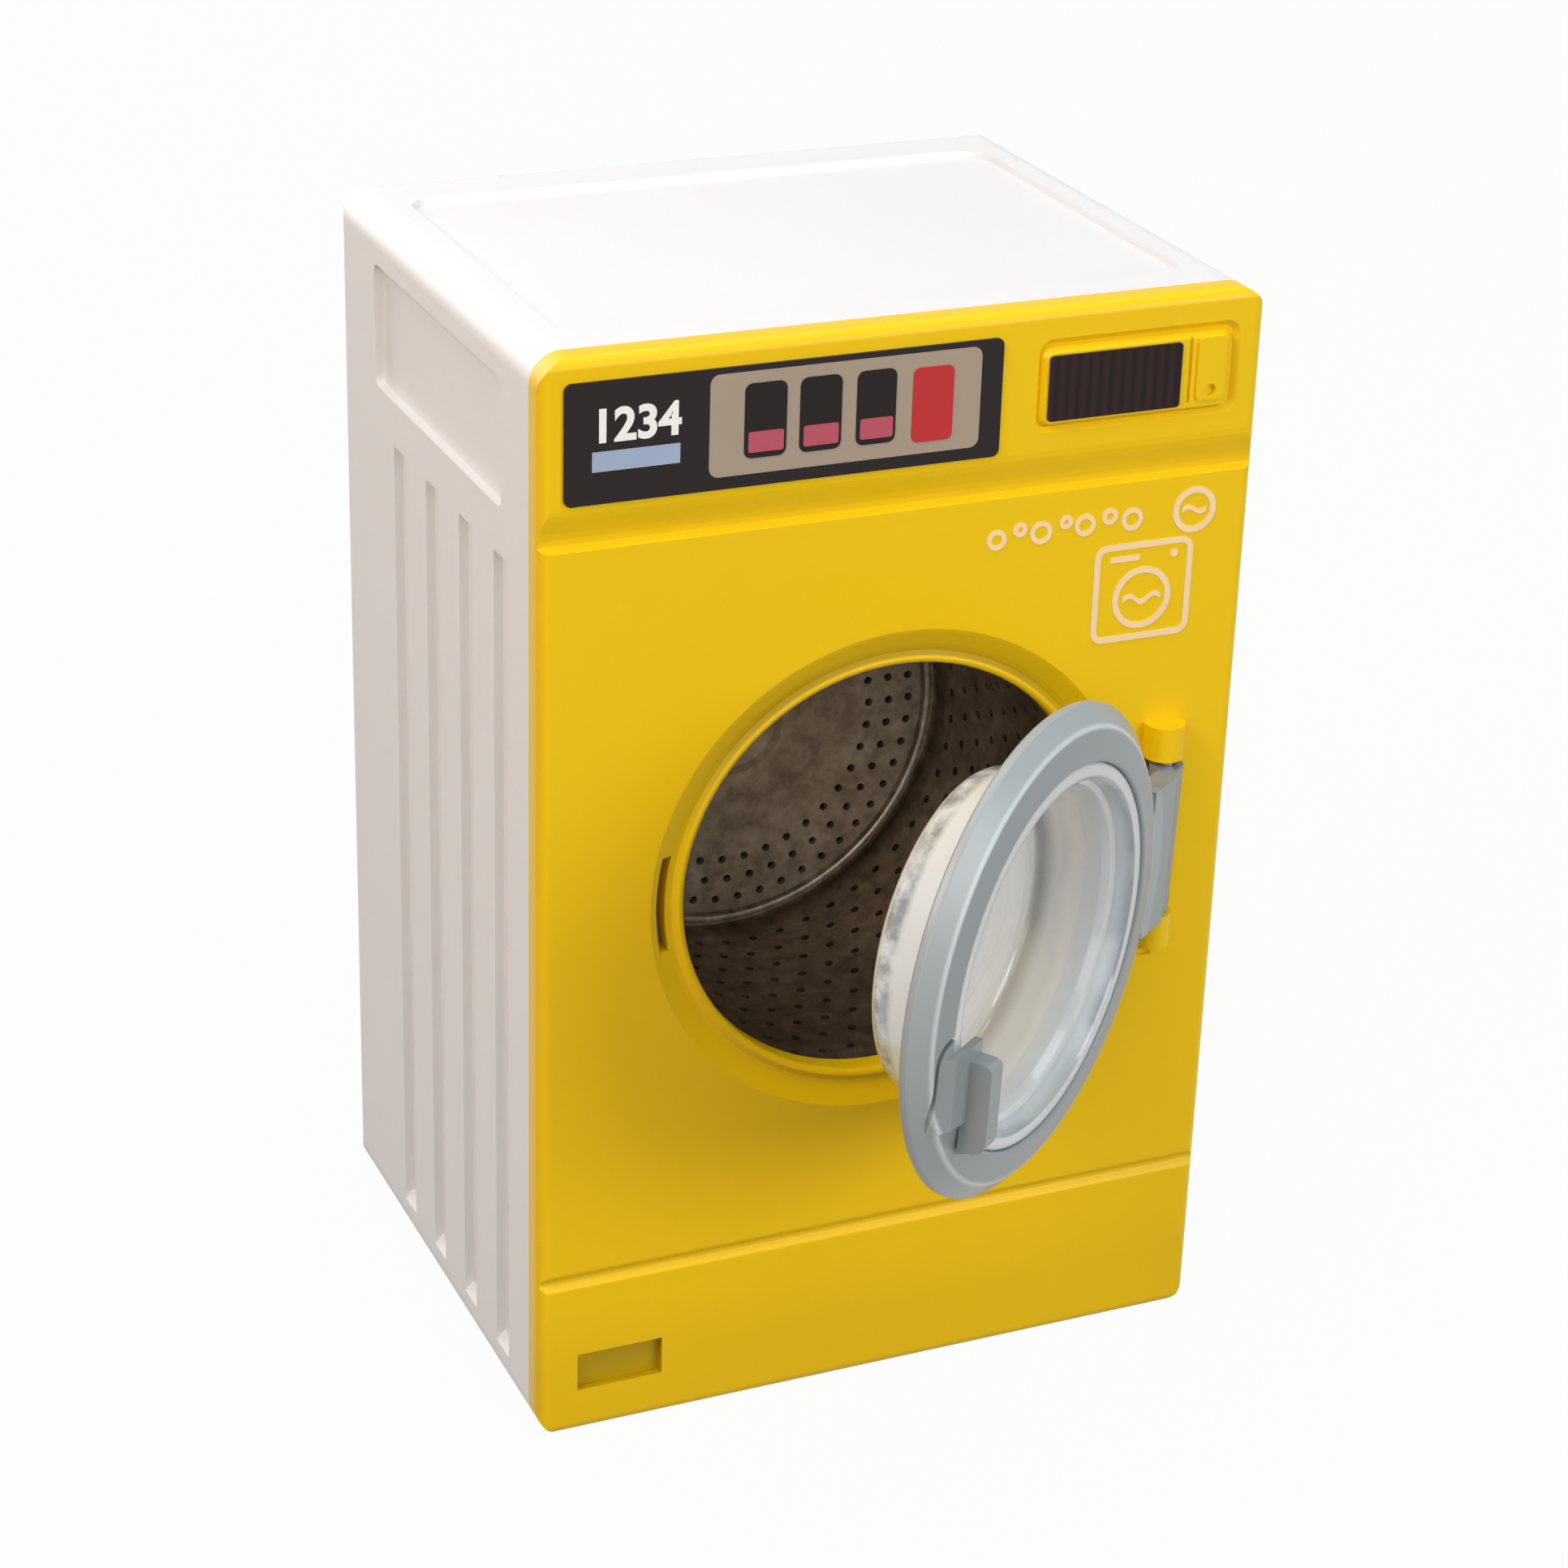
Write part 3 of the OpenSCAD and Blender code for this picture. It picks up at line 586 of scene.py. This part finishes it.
@dataclass(frozen=True)
class ClearPlastic(Finish):
    """Cloudy clear moulding whose tint changes in rings about the door's axis, with painted
    reflection streaks, painted shade lines, a painted reflection of the yellow front and a painted
    reflection on the bowl's outer wall.

    Distances and heights are in millimetres.
    """

    tint_and_shade_rings: tuple[tuple[float, Colour], ...]
    yellow_reflection: Colour
    reach: float = 12.0
    roughness: float = 0.12
    clear: float = 0.1
    milk: float = 0.9
    milk_depth: float = 3.0
    yellow_reflection_share: float = 0.3
    wall_radius: float = 8.42
    wall_foot: float = 5.0
    wall_reflection_stops: tuple[tuple[float, Colour], ...] = (
        (0.85, grey(0.0)), (1.0, grey(1.0)), (1.9, grey(1.0)), (2.3, grey(0.0)))

    def build(self) -> Any:
        """Makes the clear material.

        Returns:
            The material.
        """
        material, sheet, shader = self.start()
        turned = sheet.group(turned_group(GroupName.DOOR_PLACE, DOOR_CENTRE, DOOR_AXIS))
        distance = turned["Distance"]
        flow = sheet.noise(260.0, 1.5)
        # Painted reflection streaks in rings round the door's axis.
        reflection_streak = self._reflection_streaks(sheet, distance, flow)
        # Ring tints, darkened as painted shade lines at the window's step and groove.
        tint = sheet.ramp(distance, self.tint_and_shade_rings, self.reach)
        tint = sheet.blend("MULTIPLY", tint,
                           sheet.ramp(reflection_streak, ((0.3, grey(0.87)), (0.5, grey(1.0)))))
        # Painted reflection of the yellow front, in soft patches.
        yellow_reflection_patch = sheet.maths("MULTIPLY", sheet.maths("SUBTRACT", sheet.noise(150.0, 1.0), 0.5), 4.0)
        tint = sheet.blend("MIX", tint, self.yellow_reflection, sheet.clamp(yellow_reflection_patch, self.yellow_reflection_share))
        # Painted reflection on the bowl's outer wall, beyond its radius.
        tint = sheet.blend("MULTIPLY", tint, self._wall_reflection(sheet, turned["Height"]),
                           sheet.maths("GREATER_THAN", distance, self.wall_radius))
        sheet.join(tint, shader.inputs["Base Color"])
        relief = sheet.maths("ADD", flow, sheet.maths("MULTIPLY", reflection_streak, 0.6))
        sheet.bump(relief, 0.35, 0.05, shader)
        fill_in(shader, {"Roughness": self.roughness, "Metallic": 0.0,
                         "Transmission Weight": self.clear, "IOR": PLASTIC_IOR,
                         "Subsurface Weight": self.milk,
                         "Subsurface Radius": (1.0, 1.0, 1.0),
                         "Subsurface Scale": self.milk_depth * MM,
                         "Coat Weight": 0.4, "Coat Roughness": 0.04})
        return material

    def _reflection_streaks(self, sheet: NodeSheet, distance: Any, flow: Any) -> Any:
        """Gives painted reflection streaks: uneven rings that wander a little as they go round."""
        streaks = sheet.add("ShaderNodeTexNoise", noise_dimensions="1D")
        fill_in(streaks, {"Scale": 1.5, "Detail": 1.5})
        sheet.join(sheet.maths("ADD", distance, sheet.maths("MULTIPLY", flow, 0.5)),
                   streaks.inputs["W"])
        return streaks.outputs["Fac"]

    def _wall_reflection(self, sheet: NodeSheet, height: Any) -> Any:
        """Gives the painted reflection on the bowl's outer wall: blotched, with a painted bright
        rim.
        """
        painted_blotch = sheet.ramp(sheet.noise(800.0, 4.0, 0.65),
                            ((0.38, (0.32, 0.34, 0.35, 1.0)), (0.64, (0.80, 0.86, 0.92, 1.0))))
        mask = sheet.ramp(sheet.maths("ADD", height, self.wall_foot), self.wall_reflection_stops, 8.0)
        return sheet.blend("MIX", (0.86, 0.94, 1.0, 1.0), painted_blotch, mask)


# ---------------------------------------------------------------- mesh tools


def to_object(mesh_data: bmesh.types.BMesh, name: str, material: Any,
              smooth: bool = True) -> Any:
    """Turns a finished bmesh into an object in the scene.

    Args:
        mesh_data: The bmesh, freed by this call.
        name: The object's name.
        material: Its material.
        smooth: Whether faces are shaded smooth.

    Returns:
        The new object.
    """
    bmesh.ops.recalc_face_normals(mesh_data, faces=mesh_data.faces[:])
    for face in mesh_data.faces:
        face.smooth = smooth
    mesh = bpy.data.meshes.new(name)
    mesh_data.to_mesh(mesh)
    mesh_data.free()
    mesh.materials.append(material)
    thing = bpy.data.objects.new(name, mesh)
    bpy.context.scene.collection.objects.link(thing)
    return thing


@dataclass
class InkShape:
    """A thin flat figure lifted off a front face, drawn in millimetres."""

    face_y: float
    thick: float = INK_MM
    sheet: bmesh.types.BMesh = field(default_factory=bmesh.new)

    def lift(self, faces: Iterable[Any]) -> None:
        """Thickens flat faces towards the front.

        Args:
            faces: Flat faces that lie on the face's plane.
        """
        out = bmesh.ops.extrude_face_region(self.sheet, geom=list(faces))
        verts = [g for g in out["geom"] if isinstance(g, bmesh.types.BMVert)]
        bmesh.ops.translate(self.sheet, verts=verts, vec=(0, -self.thick * MM, 0))

    def _grid(self, x0: float, x1: float, z0: float, z1: float, steps: int = 1) -> list[Any]:
        """Lays a flat upright rectangle.

        Args:
            x0: Left edge.
            x1: Right edge.
            z0: Lower edge.
            z1: Upper edge.
            steps: Parts along its width.

        Returns:
            Its vertices.
        """
        place = Matrix.Translation(((x0 + x1) / 2 * MM, self.face_y * MM, (z0 + z1) / 2 * MM))
        size = Matrix.Diagonal(((x1 - x0) / 2 * MM, 1, (z1 - z0) / 2 * MM, 1))
        return bmesh.ops.create_grid(self.sheet, x_segments=steps, y_segments=1, size=1.0,
                                     matrix=place @ size @ UPRIGHT)["verts"]

    def _round(self, verts: list[Any], radius: float) -> dict[str, list[Any]]:
        """Rounds a rectangle's corners and returns what the bevel made."""
        return bmesh.ops.bevel(self.sheet, geom=verts, affect="VERTICES",
                               offset=radius * MM, segments=5, profile=0.5, material=-1)

    def ring(self, x: float, z: float, radius: float, line: float, parts: int = 48) -> None:
        """Draws a ring outline.

        Args:
            x: Sideways place of its middle.
            z: Height of its middle.
            radius: Outer radius.
            line: Width of the line; the radius itself gives a disc.
            parts: Sides of the circle.
        """
        turn = Matrix.Translation((x * MM, self.face_y * MM, z * MM)) @ UPRIGHT
        if line >= radius:
            made = bmesh.ops.create_circle(self.sheet, cap_ends=True, segments=parts,
                                           radius=radius * MM, matrix=turn)
            self.lift({f for v in made["verts"] for f in v.link_faces})
            return
        edges: list[Any] = []
        for r in (radius, radius - line):
            made = bmesh.ops.create_circle(self.sheet, segments=parts, radius=r * MM,
                                           matrix=turn)
            edges += list({e for v in made["verts"] for e in v.link_edges})
        self.lift(bmesh.ops.bridge_loops(self.sheet, edges=edges)["faces"])

    def bar(self, x0: float, x1: float, z0: float, z1: float, radius: float = 0.0) -> None:
        """Draws a filled bar, with round corners if a radius is given.

        Args:
            x0: Left edge.
            x1: Right edge.
            z0: Lower edge.
            z1: Upper edge.
            radius: Corner radius.
        """
        verts = self._grid(x0, x1, z0, z1)
        faces = {f for v in verts for f in v.link_faces}
        if radius:
            done = self._round(verts, radius)
            faces = set(done["faces"]) | {f for v in done["verts"] for f in v.link_faces}
        self.lift(faces)

    def frame(self, x0: float, x1: float, z0: float, z1: float, line: float,
              radius: float) -> None:
        """Draws a round-cornered outline.

        Args:
            x0: Left edge.
            x1: Right edge.
            z0: Lower edge.
            z1: Upper edge.
            line: Width of the line.
            radius: Outer corner radius.
        """
        done = self._round(self._grid(x0, x1, z0, z1), radius)
        outer = list({f for v in done["verts"] for f in v.link_faces})
        rims = bmesh.ops.inset_region(self.sheet, faces=outer, thickness=line * MM,
                                      use_boundary=True, use_even_offset=True)["faces"]
        inner = [f for f in outer if f.is_valid and f not in rims]
        bmesh.ops.delete(self.sheet, geom=inner, context="FACES_ONLY")
        self.lift(rims)

    def wave(self, x0: float, x1: float, z: float, height: float, turns: float,
             line: float, steps: int = 36) -> None:
        """Draws a wavy line.

        Args:
            x0: Left end.
            x1: Right end.
            z: Middle height.
            height: Height of a crest.
            turns: Number of waves.
            line: Width of the line.
            steps: Straight parts along it.
        """
        verts = self._grid(x0, x1, z - line / 2, z + line / 2, steps)
        for vert in verts:
            along = (vert.co.x / MM - x0) / (x1 - x0)
            vert.co.z += height * math.sin(2 * math.pi * turns * along) * MM
        self.lift({f for v in verts for f in v.link_faces})

    def finish(self, name: str, material: Any) -> Any:
        """Makes the figure an object.

        Args:
            name: The object's name.
            material: Its ink.

        Returns:
            The object.
        """
        return to_object(self.sheet, name, material, smooth=False)


def letters(text: str, name: str, x: float, z: float, size: float, face_y: float,
            material: Any) -> Any:
    """Makes plain printed characters as a thin mesh.

    Args:
        text: The characters.
        name: The object's name.
        x: Left edge, in millimetres.
        z: Foot of the characters.
        size: Size of the characters.
        face_y: The surface they are printed on.
        material: The ink.

    Returns:
        The object, with its place in its mesh.
    """
    curve = bpy.data.curves.new(name, "FONT")
    curve.body = text
    curve.size = size * MM
    curve.extrude = INK_MM / 2 * MM
    curve.offset = LETTER_SWELL * size * MM
    thing = bpy.data.objects.new(name + "_curve", curve)
    bpy.context.scene.collection.objects.link(thing)
    graph = bpy.context.evaluated_depsgraph_get()
    mesh = bpy.data.meshes.new_from_object(thing.evaluated_get(graph))
    bpy.data.objects.remove(thing)
    bpy.data.curves.remove(curve)
    mesh.name = name
    mesh.transform(Matrix.Translation((x * MM, (face_y - INK_MM / 2) * MM, z * MM)) @ UPRIGHT)
    mesh.materials.clear()
    mesh.materials.append(material)
    made = bpy.data.objects.new(name, mesh)
    bpy.context.scene.collection.objects.link(made)
    return made


# ---------------------------------------------------------------- the toy


def dress(node: Any, material: Any) -> None:
    """Gives a carried-over solid one finish on all its slots.

    Args:
        node: The solid's object.
        material: The finish.
    """
    if not node.material_slots:
        node.data.materials.append(material)
    for slot in node.material_slots:
        slot.material = material


def dress_all(nodes: dict[str, Any], plan: dict[str, Any]) -> list[str]:
    """Gives several solids their finishes.

    Args:
        nodes: The carried-over solids, by name.
        plan: The finish of each, by name.

    Returns:
        The names of what was dressed.
    """
    for name, material in plan.items():
        dress(nodes[name], material)
    return list(plan)


def print_on(pieces: Sequence[Any]) -> list[str]:
    """Fixes printed figures to the cabinet.

    Args:
        pieces: The figures.

    Returns:
        Their names.
    """
    for piece in pieces:
        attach(piece, "cabinet")
    return [piece.name for piece in pieces]


@dataclass
class Cabinet:
    """White shell, back cover with its screws and bearing, and the yellow front."""

    nodes: dict[str, Any]
    white: Finish = MouldedPlastic("white moulded plastic", srgb(226, 226, 226), roughness=0.42,
                                   variation=0.015, glow=0.12)
    yellow: Finish = PanelPlastic("yellow moulded plastic", srgb(235, 194, 8), roughness=0.38,
                                  variation=0.03, coat=0.03, glow=0.1, shine=0.22)
    steel: Finish = SheetMetal("plain steel", srgb(205, 205, 208), srgb(160, 160, 165),
                               roughness=0.28)
    bearing: Finish = MouldedPlastic("bearing plastic", srgb(225, 222, 208), roughness=0.45)

    def build(self) -> list[str]:
        """Dresses the cabinet's solids.

        Returns:
            The names of what was dressed.
        """
        white = self.white.build()
        plan = {"cabinet_shell": white, "back_cover": white,
                "front_panel": self.yellow.build(), "shaft_bush": self.bearing.build()}
        steel = self.steel.build()
        plan |= {"cover_screws": steel, "hinge_pin": steel}
        return dress_all(self.nodes, plan)


@dataclass
class ControlLabel:
    """Black control label with its printed plate, keys, digits and bar."""

    nodes: dict[str, Any]
    face_y: float
    black: Finish = PrintedLabel("black label", srgb(32, 26, 25), roughness=0.36)
    plate: Finish = PrintedLabel("grey plate ink", srgb(165, 149, 133))
    key: Finish = PrintedLabel("black key ink", srgb(28, 21, 20))
    pink: Finish = PrintedLabel("pink ink", srgb(180, 84, 100))
    red: Finish = PrintedLabel("red ink", srgb(186, 50, 50))
    blue: Finish = PrintedLabel("pale blue ink", srgb(156, 174, 200))
    pale: Finish = PrintedLabel("white ink", srgb(240, 240, 238))
    keys: tuple[tuple[float, float], ...] = ((-9.1, -6.9), (-6.2, -4.0), (-3.2, -1.1))
    digits: str = "1234"

    def build(self) -> list[str]:
        """Dresses the label and prints its figures.

        Returns:
            The names of the pieces.
        """
        dress(self.nodes["control_label"], self.black.build())
        on_plate = self.face_y - INK_MM
        plate, bar = InkShape(self.face_y), InkShape(self.face_y)
        keys, red = InkShape(on_plate), InkShape(on_plate)
        marks = InkShape(on_plate - INK_MM)
        plate.bar(-10.9, 3.5, 53.3, 58.5, 0.5)
        for left, right in self.keys:
            keys.bar(left, right, 54.1, 57.9, 0.4)
            marks.bar(left + 0.2, right - 0.15, 54.4, 55.45, 0.12)
        red.bar(-0.2, 2.0, 53.9, 57.75, 0.35)
        bar.bar(-16.9, -12.4, 54.3, 55.3)
        return print_on([
            plate.finish("label_plate", self.plate.build()),
            keys.finish("label_keys", self.key.build()),
            marks.finish("label_key_marks", self.pink.build()),
            red.finish("label_red_key", self.red.build()),
            bar.finish("label_bar", self.blue.build()),
            letters(self.digits, "label_digits", -16.95, 55.8, 2.3, self.face_y,
                    self.pale.build()),
        ])


@dataclass
class FrontPrint:
    """Cream figures printed at the top right of the front."""

    face_y: float
    ink: Finish = PrintedLabel("cream ink", srgb(243, 214, 168), roughness=0.45)
    line: float = 0.34
    bubbles: tuple[Triple, ...] = (
        (4.9, 48.1, 0.55), (6.2, 48.5, 0.4), (7.4, 48.2, 0.62), (8.8, 48.6, 0.38),
        (9.9, 48.3, 0.6), (11.3, 48.6, 0.45), (12.6, 48.3, 0.62))

    def build(self) -> list[str]:
        """Prints the row of bubbles, the swirl and the machine sign.

        Returns:
            The names of the pieces.
        """
        ink = self.ink.build()
        row = InkShape(self.face_y)
        for x, z, radius in self.bubbles:
            row.ring(x, z, radius, 0.26, 28)
        swirl = InkShape(self.face_y)
        swirl.ring(16.2, 48.4, 1.25, self.line)
        swirl.wave(15.5, 16.9, 48.4, 0.16, 1.0, 0.26, 18)
        sign = InkShape(self.face_y)
        sign.frame(10.6, 16.3, 41.6, 47.0, self.line, 0.7)
        sign.ring(13.45, 43.9, 1.7, self.line)
        sign.wave(12.35, 14.55, 43.85, 0.2, 1.5, 0.28, 24)
        sign.bar(11.5, 13.2, 46.0, 46.3)
        sign.ring(15.2, 46.15, 0.22, 0.22, 16)
        return print_on([row.finish("print_bubbles", ink), swirl.finish("print_swirl", ink),
                         sign.finish("print_machine_sign", ink)])


@dataclass
class Display:
    """Dark striped display label of the coin unit."""

    nodes: dict[str, Any]
    glass: Finish = PrintedLabel("display ink", srgb(44, 22, 22), roughness=0.3,
                                 stripe_pitch=0.62 * MM, stripe_colour=srgb(22, 8, 8))

    def build(self) -> list[str]:
        """Dresses the display label."""
        dress(self.nodes["display_label"], self.glass.build())
        return ["display_label"]


@dataclass
class Drum:
    """Perforated metal drum with its shaft, washer and screw."""

    nodes: dict[str, Any]
    disc: Finish = SheetMetal("drum disc metal", srgb(255, 248, 236), srgb(196, 180, 160),
                              roughness=0.42, spots=0.4, metallic=0.7)
    wall: Finish = SheetMetal("drum wall metal", srgb(196, 178, 156), srgb(106, 90, 70),
                              roughness=0.45, spots=0.45, metallic=0.85)
    steel: Finish = SheetMetal("shaft steel", srgb(200, 200, 203), srgb(150, 150, 155),
                               roughness=0.3)

    def build(self) -> list[str]:
        """Dresses the drum's solids.

        Returns:
            The names of what was dressed.
        """
        plan = {"drum_back_disc": self.disc.build(), "drum_shell": self.wall.build()}
        plan |= dict.fromkeys(("drum_shaft", "shaft_washer", "shaft_screw"), self.steel.build())
        return dress_all(self.nodes, plan)


@dataclass
class Door:
    """Grey ring, handle and retaining ring round the clear window."""

    nodes: dict[str, Any]
    moulded: Finish = RingPlastic("grey moulded plastic", srgb(140, 148, 150), roughness=0.34,
                                  variation=0.05, shine=0.5)
    # The dark stops of the ring tints are painted shade lines.
    clear: Finish = ClearPlastic(
        "clear window plastic",
        ((0.0, cool(0.95)), (6.8, cool(0.98)), (7.75, cool(0.92)), (7.9, cool(0.45)),
         (8.02, cool(0.45)), (8.15, cool(0.96)), (9.1, cool(1.0)), (9.24, cool(0.4)),
         (9.38, cool(0.4)), (9.5, cool(1.0)), (11.5, cool(0.98))),
        # Painted reflection of the yellow front.
        srgb(236, 233, 208))

    def build(self) -> list[str]:
        """Dresses the door's solids.

        Returns:
            The names of what was dressed.
        """
        plan = dict.fromkeys(("door_ring", "door_back_ring", "door_handle"),
                             self.moulded.build())
        return dress_all(self.nodes, plan | {"door_window": self.clear.build()})


# ---------------------------------------------------------------- the studio


@dataclass(frozen=True)
class Lamp:
    """One square area lamp: its place in metres, side, power and colour."""

    name: str
    place: Triple
    size: float
    watts: float
    colour: Triple = (1.0, 1.0, 1.0)

    def hang(self) -> None:
        """Hangs the lamp so that it faces the toy."""
        light = bpy.data.lights.new(self.name, "AREA")
        light.shape = "SQUARE"
        light.size = self.size
        light.energy = self.watts
        light.color = self.colour
        lamp = bpy.data.objects.new(self.name, light)
        lamp.location = self.place
        aim = Vector(AIM) - Vector(self.place)
        lamp.rotation_euler = aim.to_track_quat("-Z", "Y").to_euler()
        bpy.context.scene.collection.objects.link(lamp)


@dataclass
class Studio:
    """Floor, world, lamps and camera.

    The fill is the world's light on the toy, the sheen is what gloss shows of the world.
    The floor's share is how much of it glows white where it is seen.
    """

    camera_mm: Triple = (-76.515, -173.417, 115.466)
    right: Triple = (0.91845, -0.39454, 0.02801)
    up: Triple = (0.14114, 0.39306, 0.90862)
    lens: float = 86.334
    fill: float = 0.06
    sheen: float = 0.75
    floor_tone: Colour = (0.20, 0.175, 0.15, 1)
    floor_glow: float = 1.04
    floor_share: float = 0.93
    lamps: tuple[Lamp, ...] = (
        Lamp("overhead lamp", (0.0, 0.02, 0.55), 0.50, 1.98, (0.84, 0.92, 1.0)),
        Lamp("key lamp", (0.15, -0.30, 0.40), 0.30, 0.12),
        Lamp("upper left lamp", (-0.42, -0.22, 0.42), 0.20, 0.6),
        Lamp("front lamp", (0.05, -0.55, 0.24), 0.40, 0.64),
        Lamp("right lamp", (0.30, -0.40, 0.17), 0.25, 1.08),
        Lamp("front left lamp", (-0.30, -0.42, 0.26), 0.35, 0.52),
        Lamp("left lamp", (-0.20, -0.07, 0.22), 0.13, 0.34, (1.0, 0.74, 0.56)),
        Lamp("back lamp", (-0.10, 0.60, 0.12), 0.40, 2.4),
    )

    def build(self) -> None:
        """Makes the floor, light and camera."""
        self._world()
        self._floor()
        for lamp in self.lamps:
            lamp.hang()
        self._camera()

    def _world(self) -> None:
        """Lights the object evenly and shows white behind it."""
        world = bpy.data.worlds.new("studio")
        world.use_nodes = True
        world.node_tree.nodes.clear()
        sheet = NodeSheet(world.node_tree)
        path = sheet.add("ShaderNodeLightPath")
        clear = sheet.maths("MAXIMUM", path.outputs["Is Camera Ray"],
                            path.outputs["Is Transmission Ray"])
        gloss = sheet.maths("MULTIPLY", path.outputs["Is Glossy Ray"], self.sheen)
        level = sheet.maths("MAXIMUM", sheet.maths("MAXIMUM", clear, gloss), self.fill)
        back = sheet.add("ShaderNodeBackground")
        fill_in(back, {"Color": grey(1.0)})
        sheet.join(level, back.inputs["Strength"])
        sink = sheet.add("ShaderNodeOutputWorld")
        sheet.join(back.outputs["Background"], sink.inputs["Surface"])
        bpy.context.scene.world = world

    def _seen(self, sheet: NodeSheet) -> Any:
        """Gives 1 for camera, glossy and transmission rays."""
        path = sheet.add("ShaderNodeLightPath")
        first = sheet.maths("MAXIMUM", path.outputs["Is Camera Ray"],
                            path.outputs["Is Glossy Ray"])
        return sheet.maths("MAXIMUM", first, path.outputs["Is Transmission Ray"])

    def _floor(self) -> None:
        """Lays a white floor that keeps a soft shadow."""
        plane = bmesh.new()
        bmesh.ops.create_grid(plane, x_segments=1, y_segments=1, size=1.5,
                              matrix=Matrix.Translation((0, 0, -0.00003)))
        material = bpy.data.materials.new("white floor")
        material.use_nodes = True
        material.node_tree.nodes.clear()
        sheet = NodeSheet(material.node_tree)
        seen = self._seen(sheet)
        matte = sheet.add("ShaderNodeBsdfDiffuse")
        fill_in(matte, {"Color": self.floor_tone})
        glow = sheet.add("ShaderNodeEmission")
        fill_in(glow, {"Color": grey(1.0), "Strength": self.floor_glow})
        share = sheet.maths("MULTIPLY", seen, self.floor_share)
        mix = sheet.add("ShaderNodeMixShader")
        sheet.join(share, mix.inputs["Fac"])
        sheet.join(matte.outputs["BSDF"], mix.inputs[1])
        sheet.join(glow.outputs["Emission"], mix.inputs[2])
        sink = sheet.add("ShaderNodeOutputMaterial")
        sheet.join(mix.outputs["Shader"], sink.inputs["Surface"])
        to_object(plane, "floor", material, smooth=False)

    def _camera(self) -> None:
        """Sets the camera at its measured place."""
        data = bpy.data.cameras.new("camera")
        data.lens = self.lens
        data.sensor_width = 36.0
        data.clip_start = 0.01
        data.clip_end = 20.0
        camera = bpy.data.objects.new("camera", data)
        right, up = Vector(self.right).normalized(), Vector(self.up)
        up = (up - right * up.dot(right)).normalized()
        back = right.cross(up)
        turn = Matrix((right, up, back)).transposed().to_4x4()
        place = Matrix.Translation(Vector(self.camera_mm) * MM)
        camera.matrix_world = place @ turn
        bpy.context.scene.collection.objects.link(camera)
        bpy.context.scene.camera = camera


def main() -> None:
    """Builds the looks of the toy in order."""
    logging.basicConfig(level=logging.INFO, format="%(name)s: %(message)s")
    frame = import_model()
    nodes = frame["nodes"]
    bpy.context.scene.view_settings.view_transform = "Standard"
    label_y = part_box("control_label")[0][1] / MM
    builders: list[tuple[str, Callable[[], list[str]]]] = [
        ("cabinet", Cabinet(nodes).build),
        ("control label", ControlLabel(nodes, label_y).build),
        ("front print", FrontPrint(PANEL_Y).build),
        ("display", Display(nodes).build),
        ("drum", Drum(nodes).build),
        ("door", Door(nodes).build),
    ]
    for name, build in builders:
        for piece in build():
            LOG.info("%s: %s", name, piece)
    Studio().build()


if __name__ == "__main__":
    main()
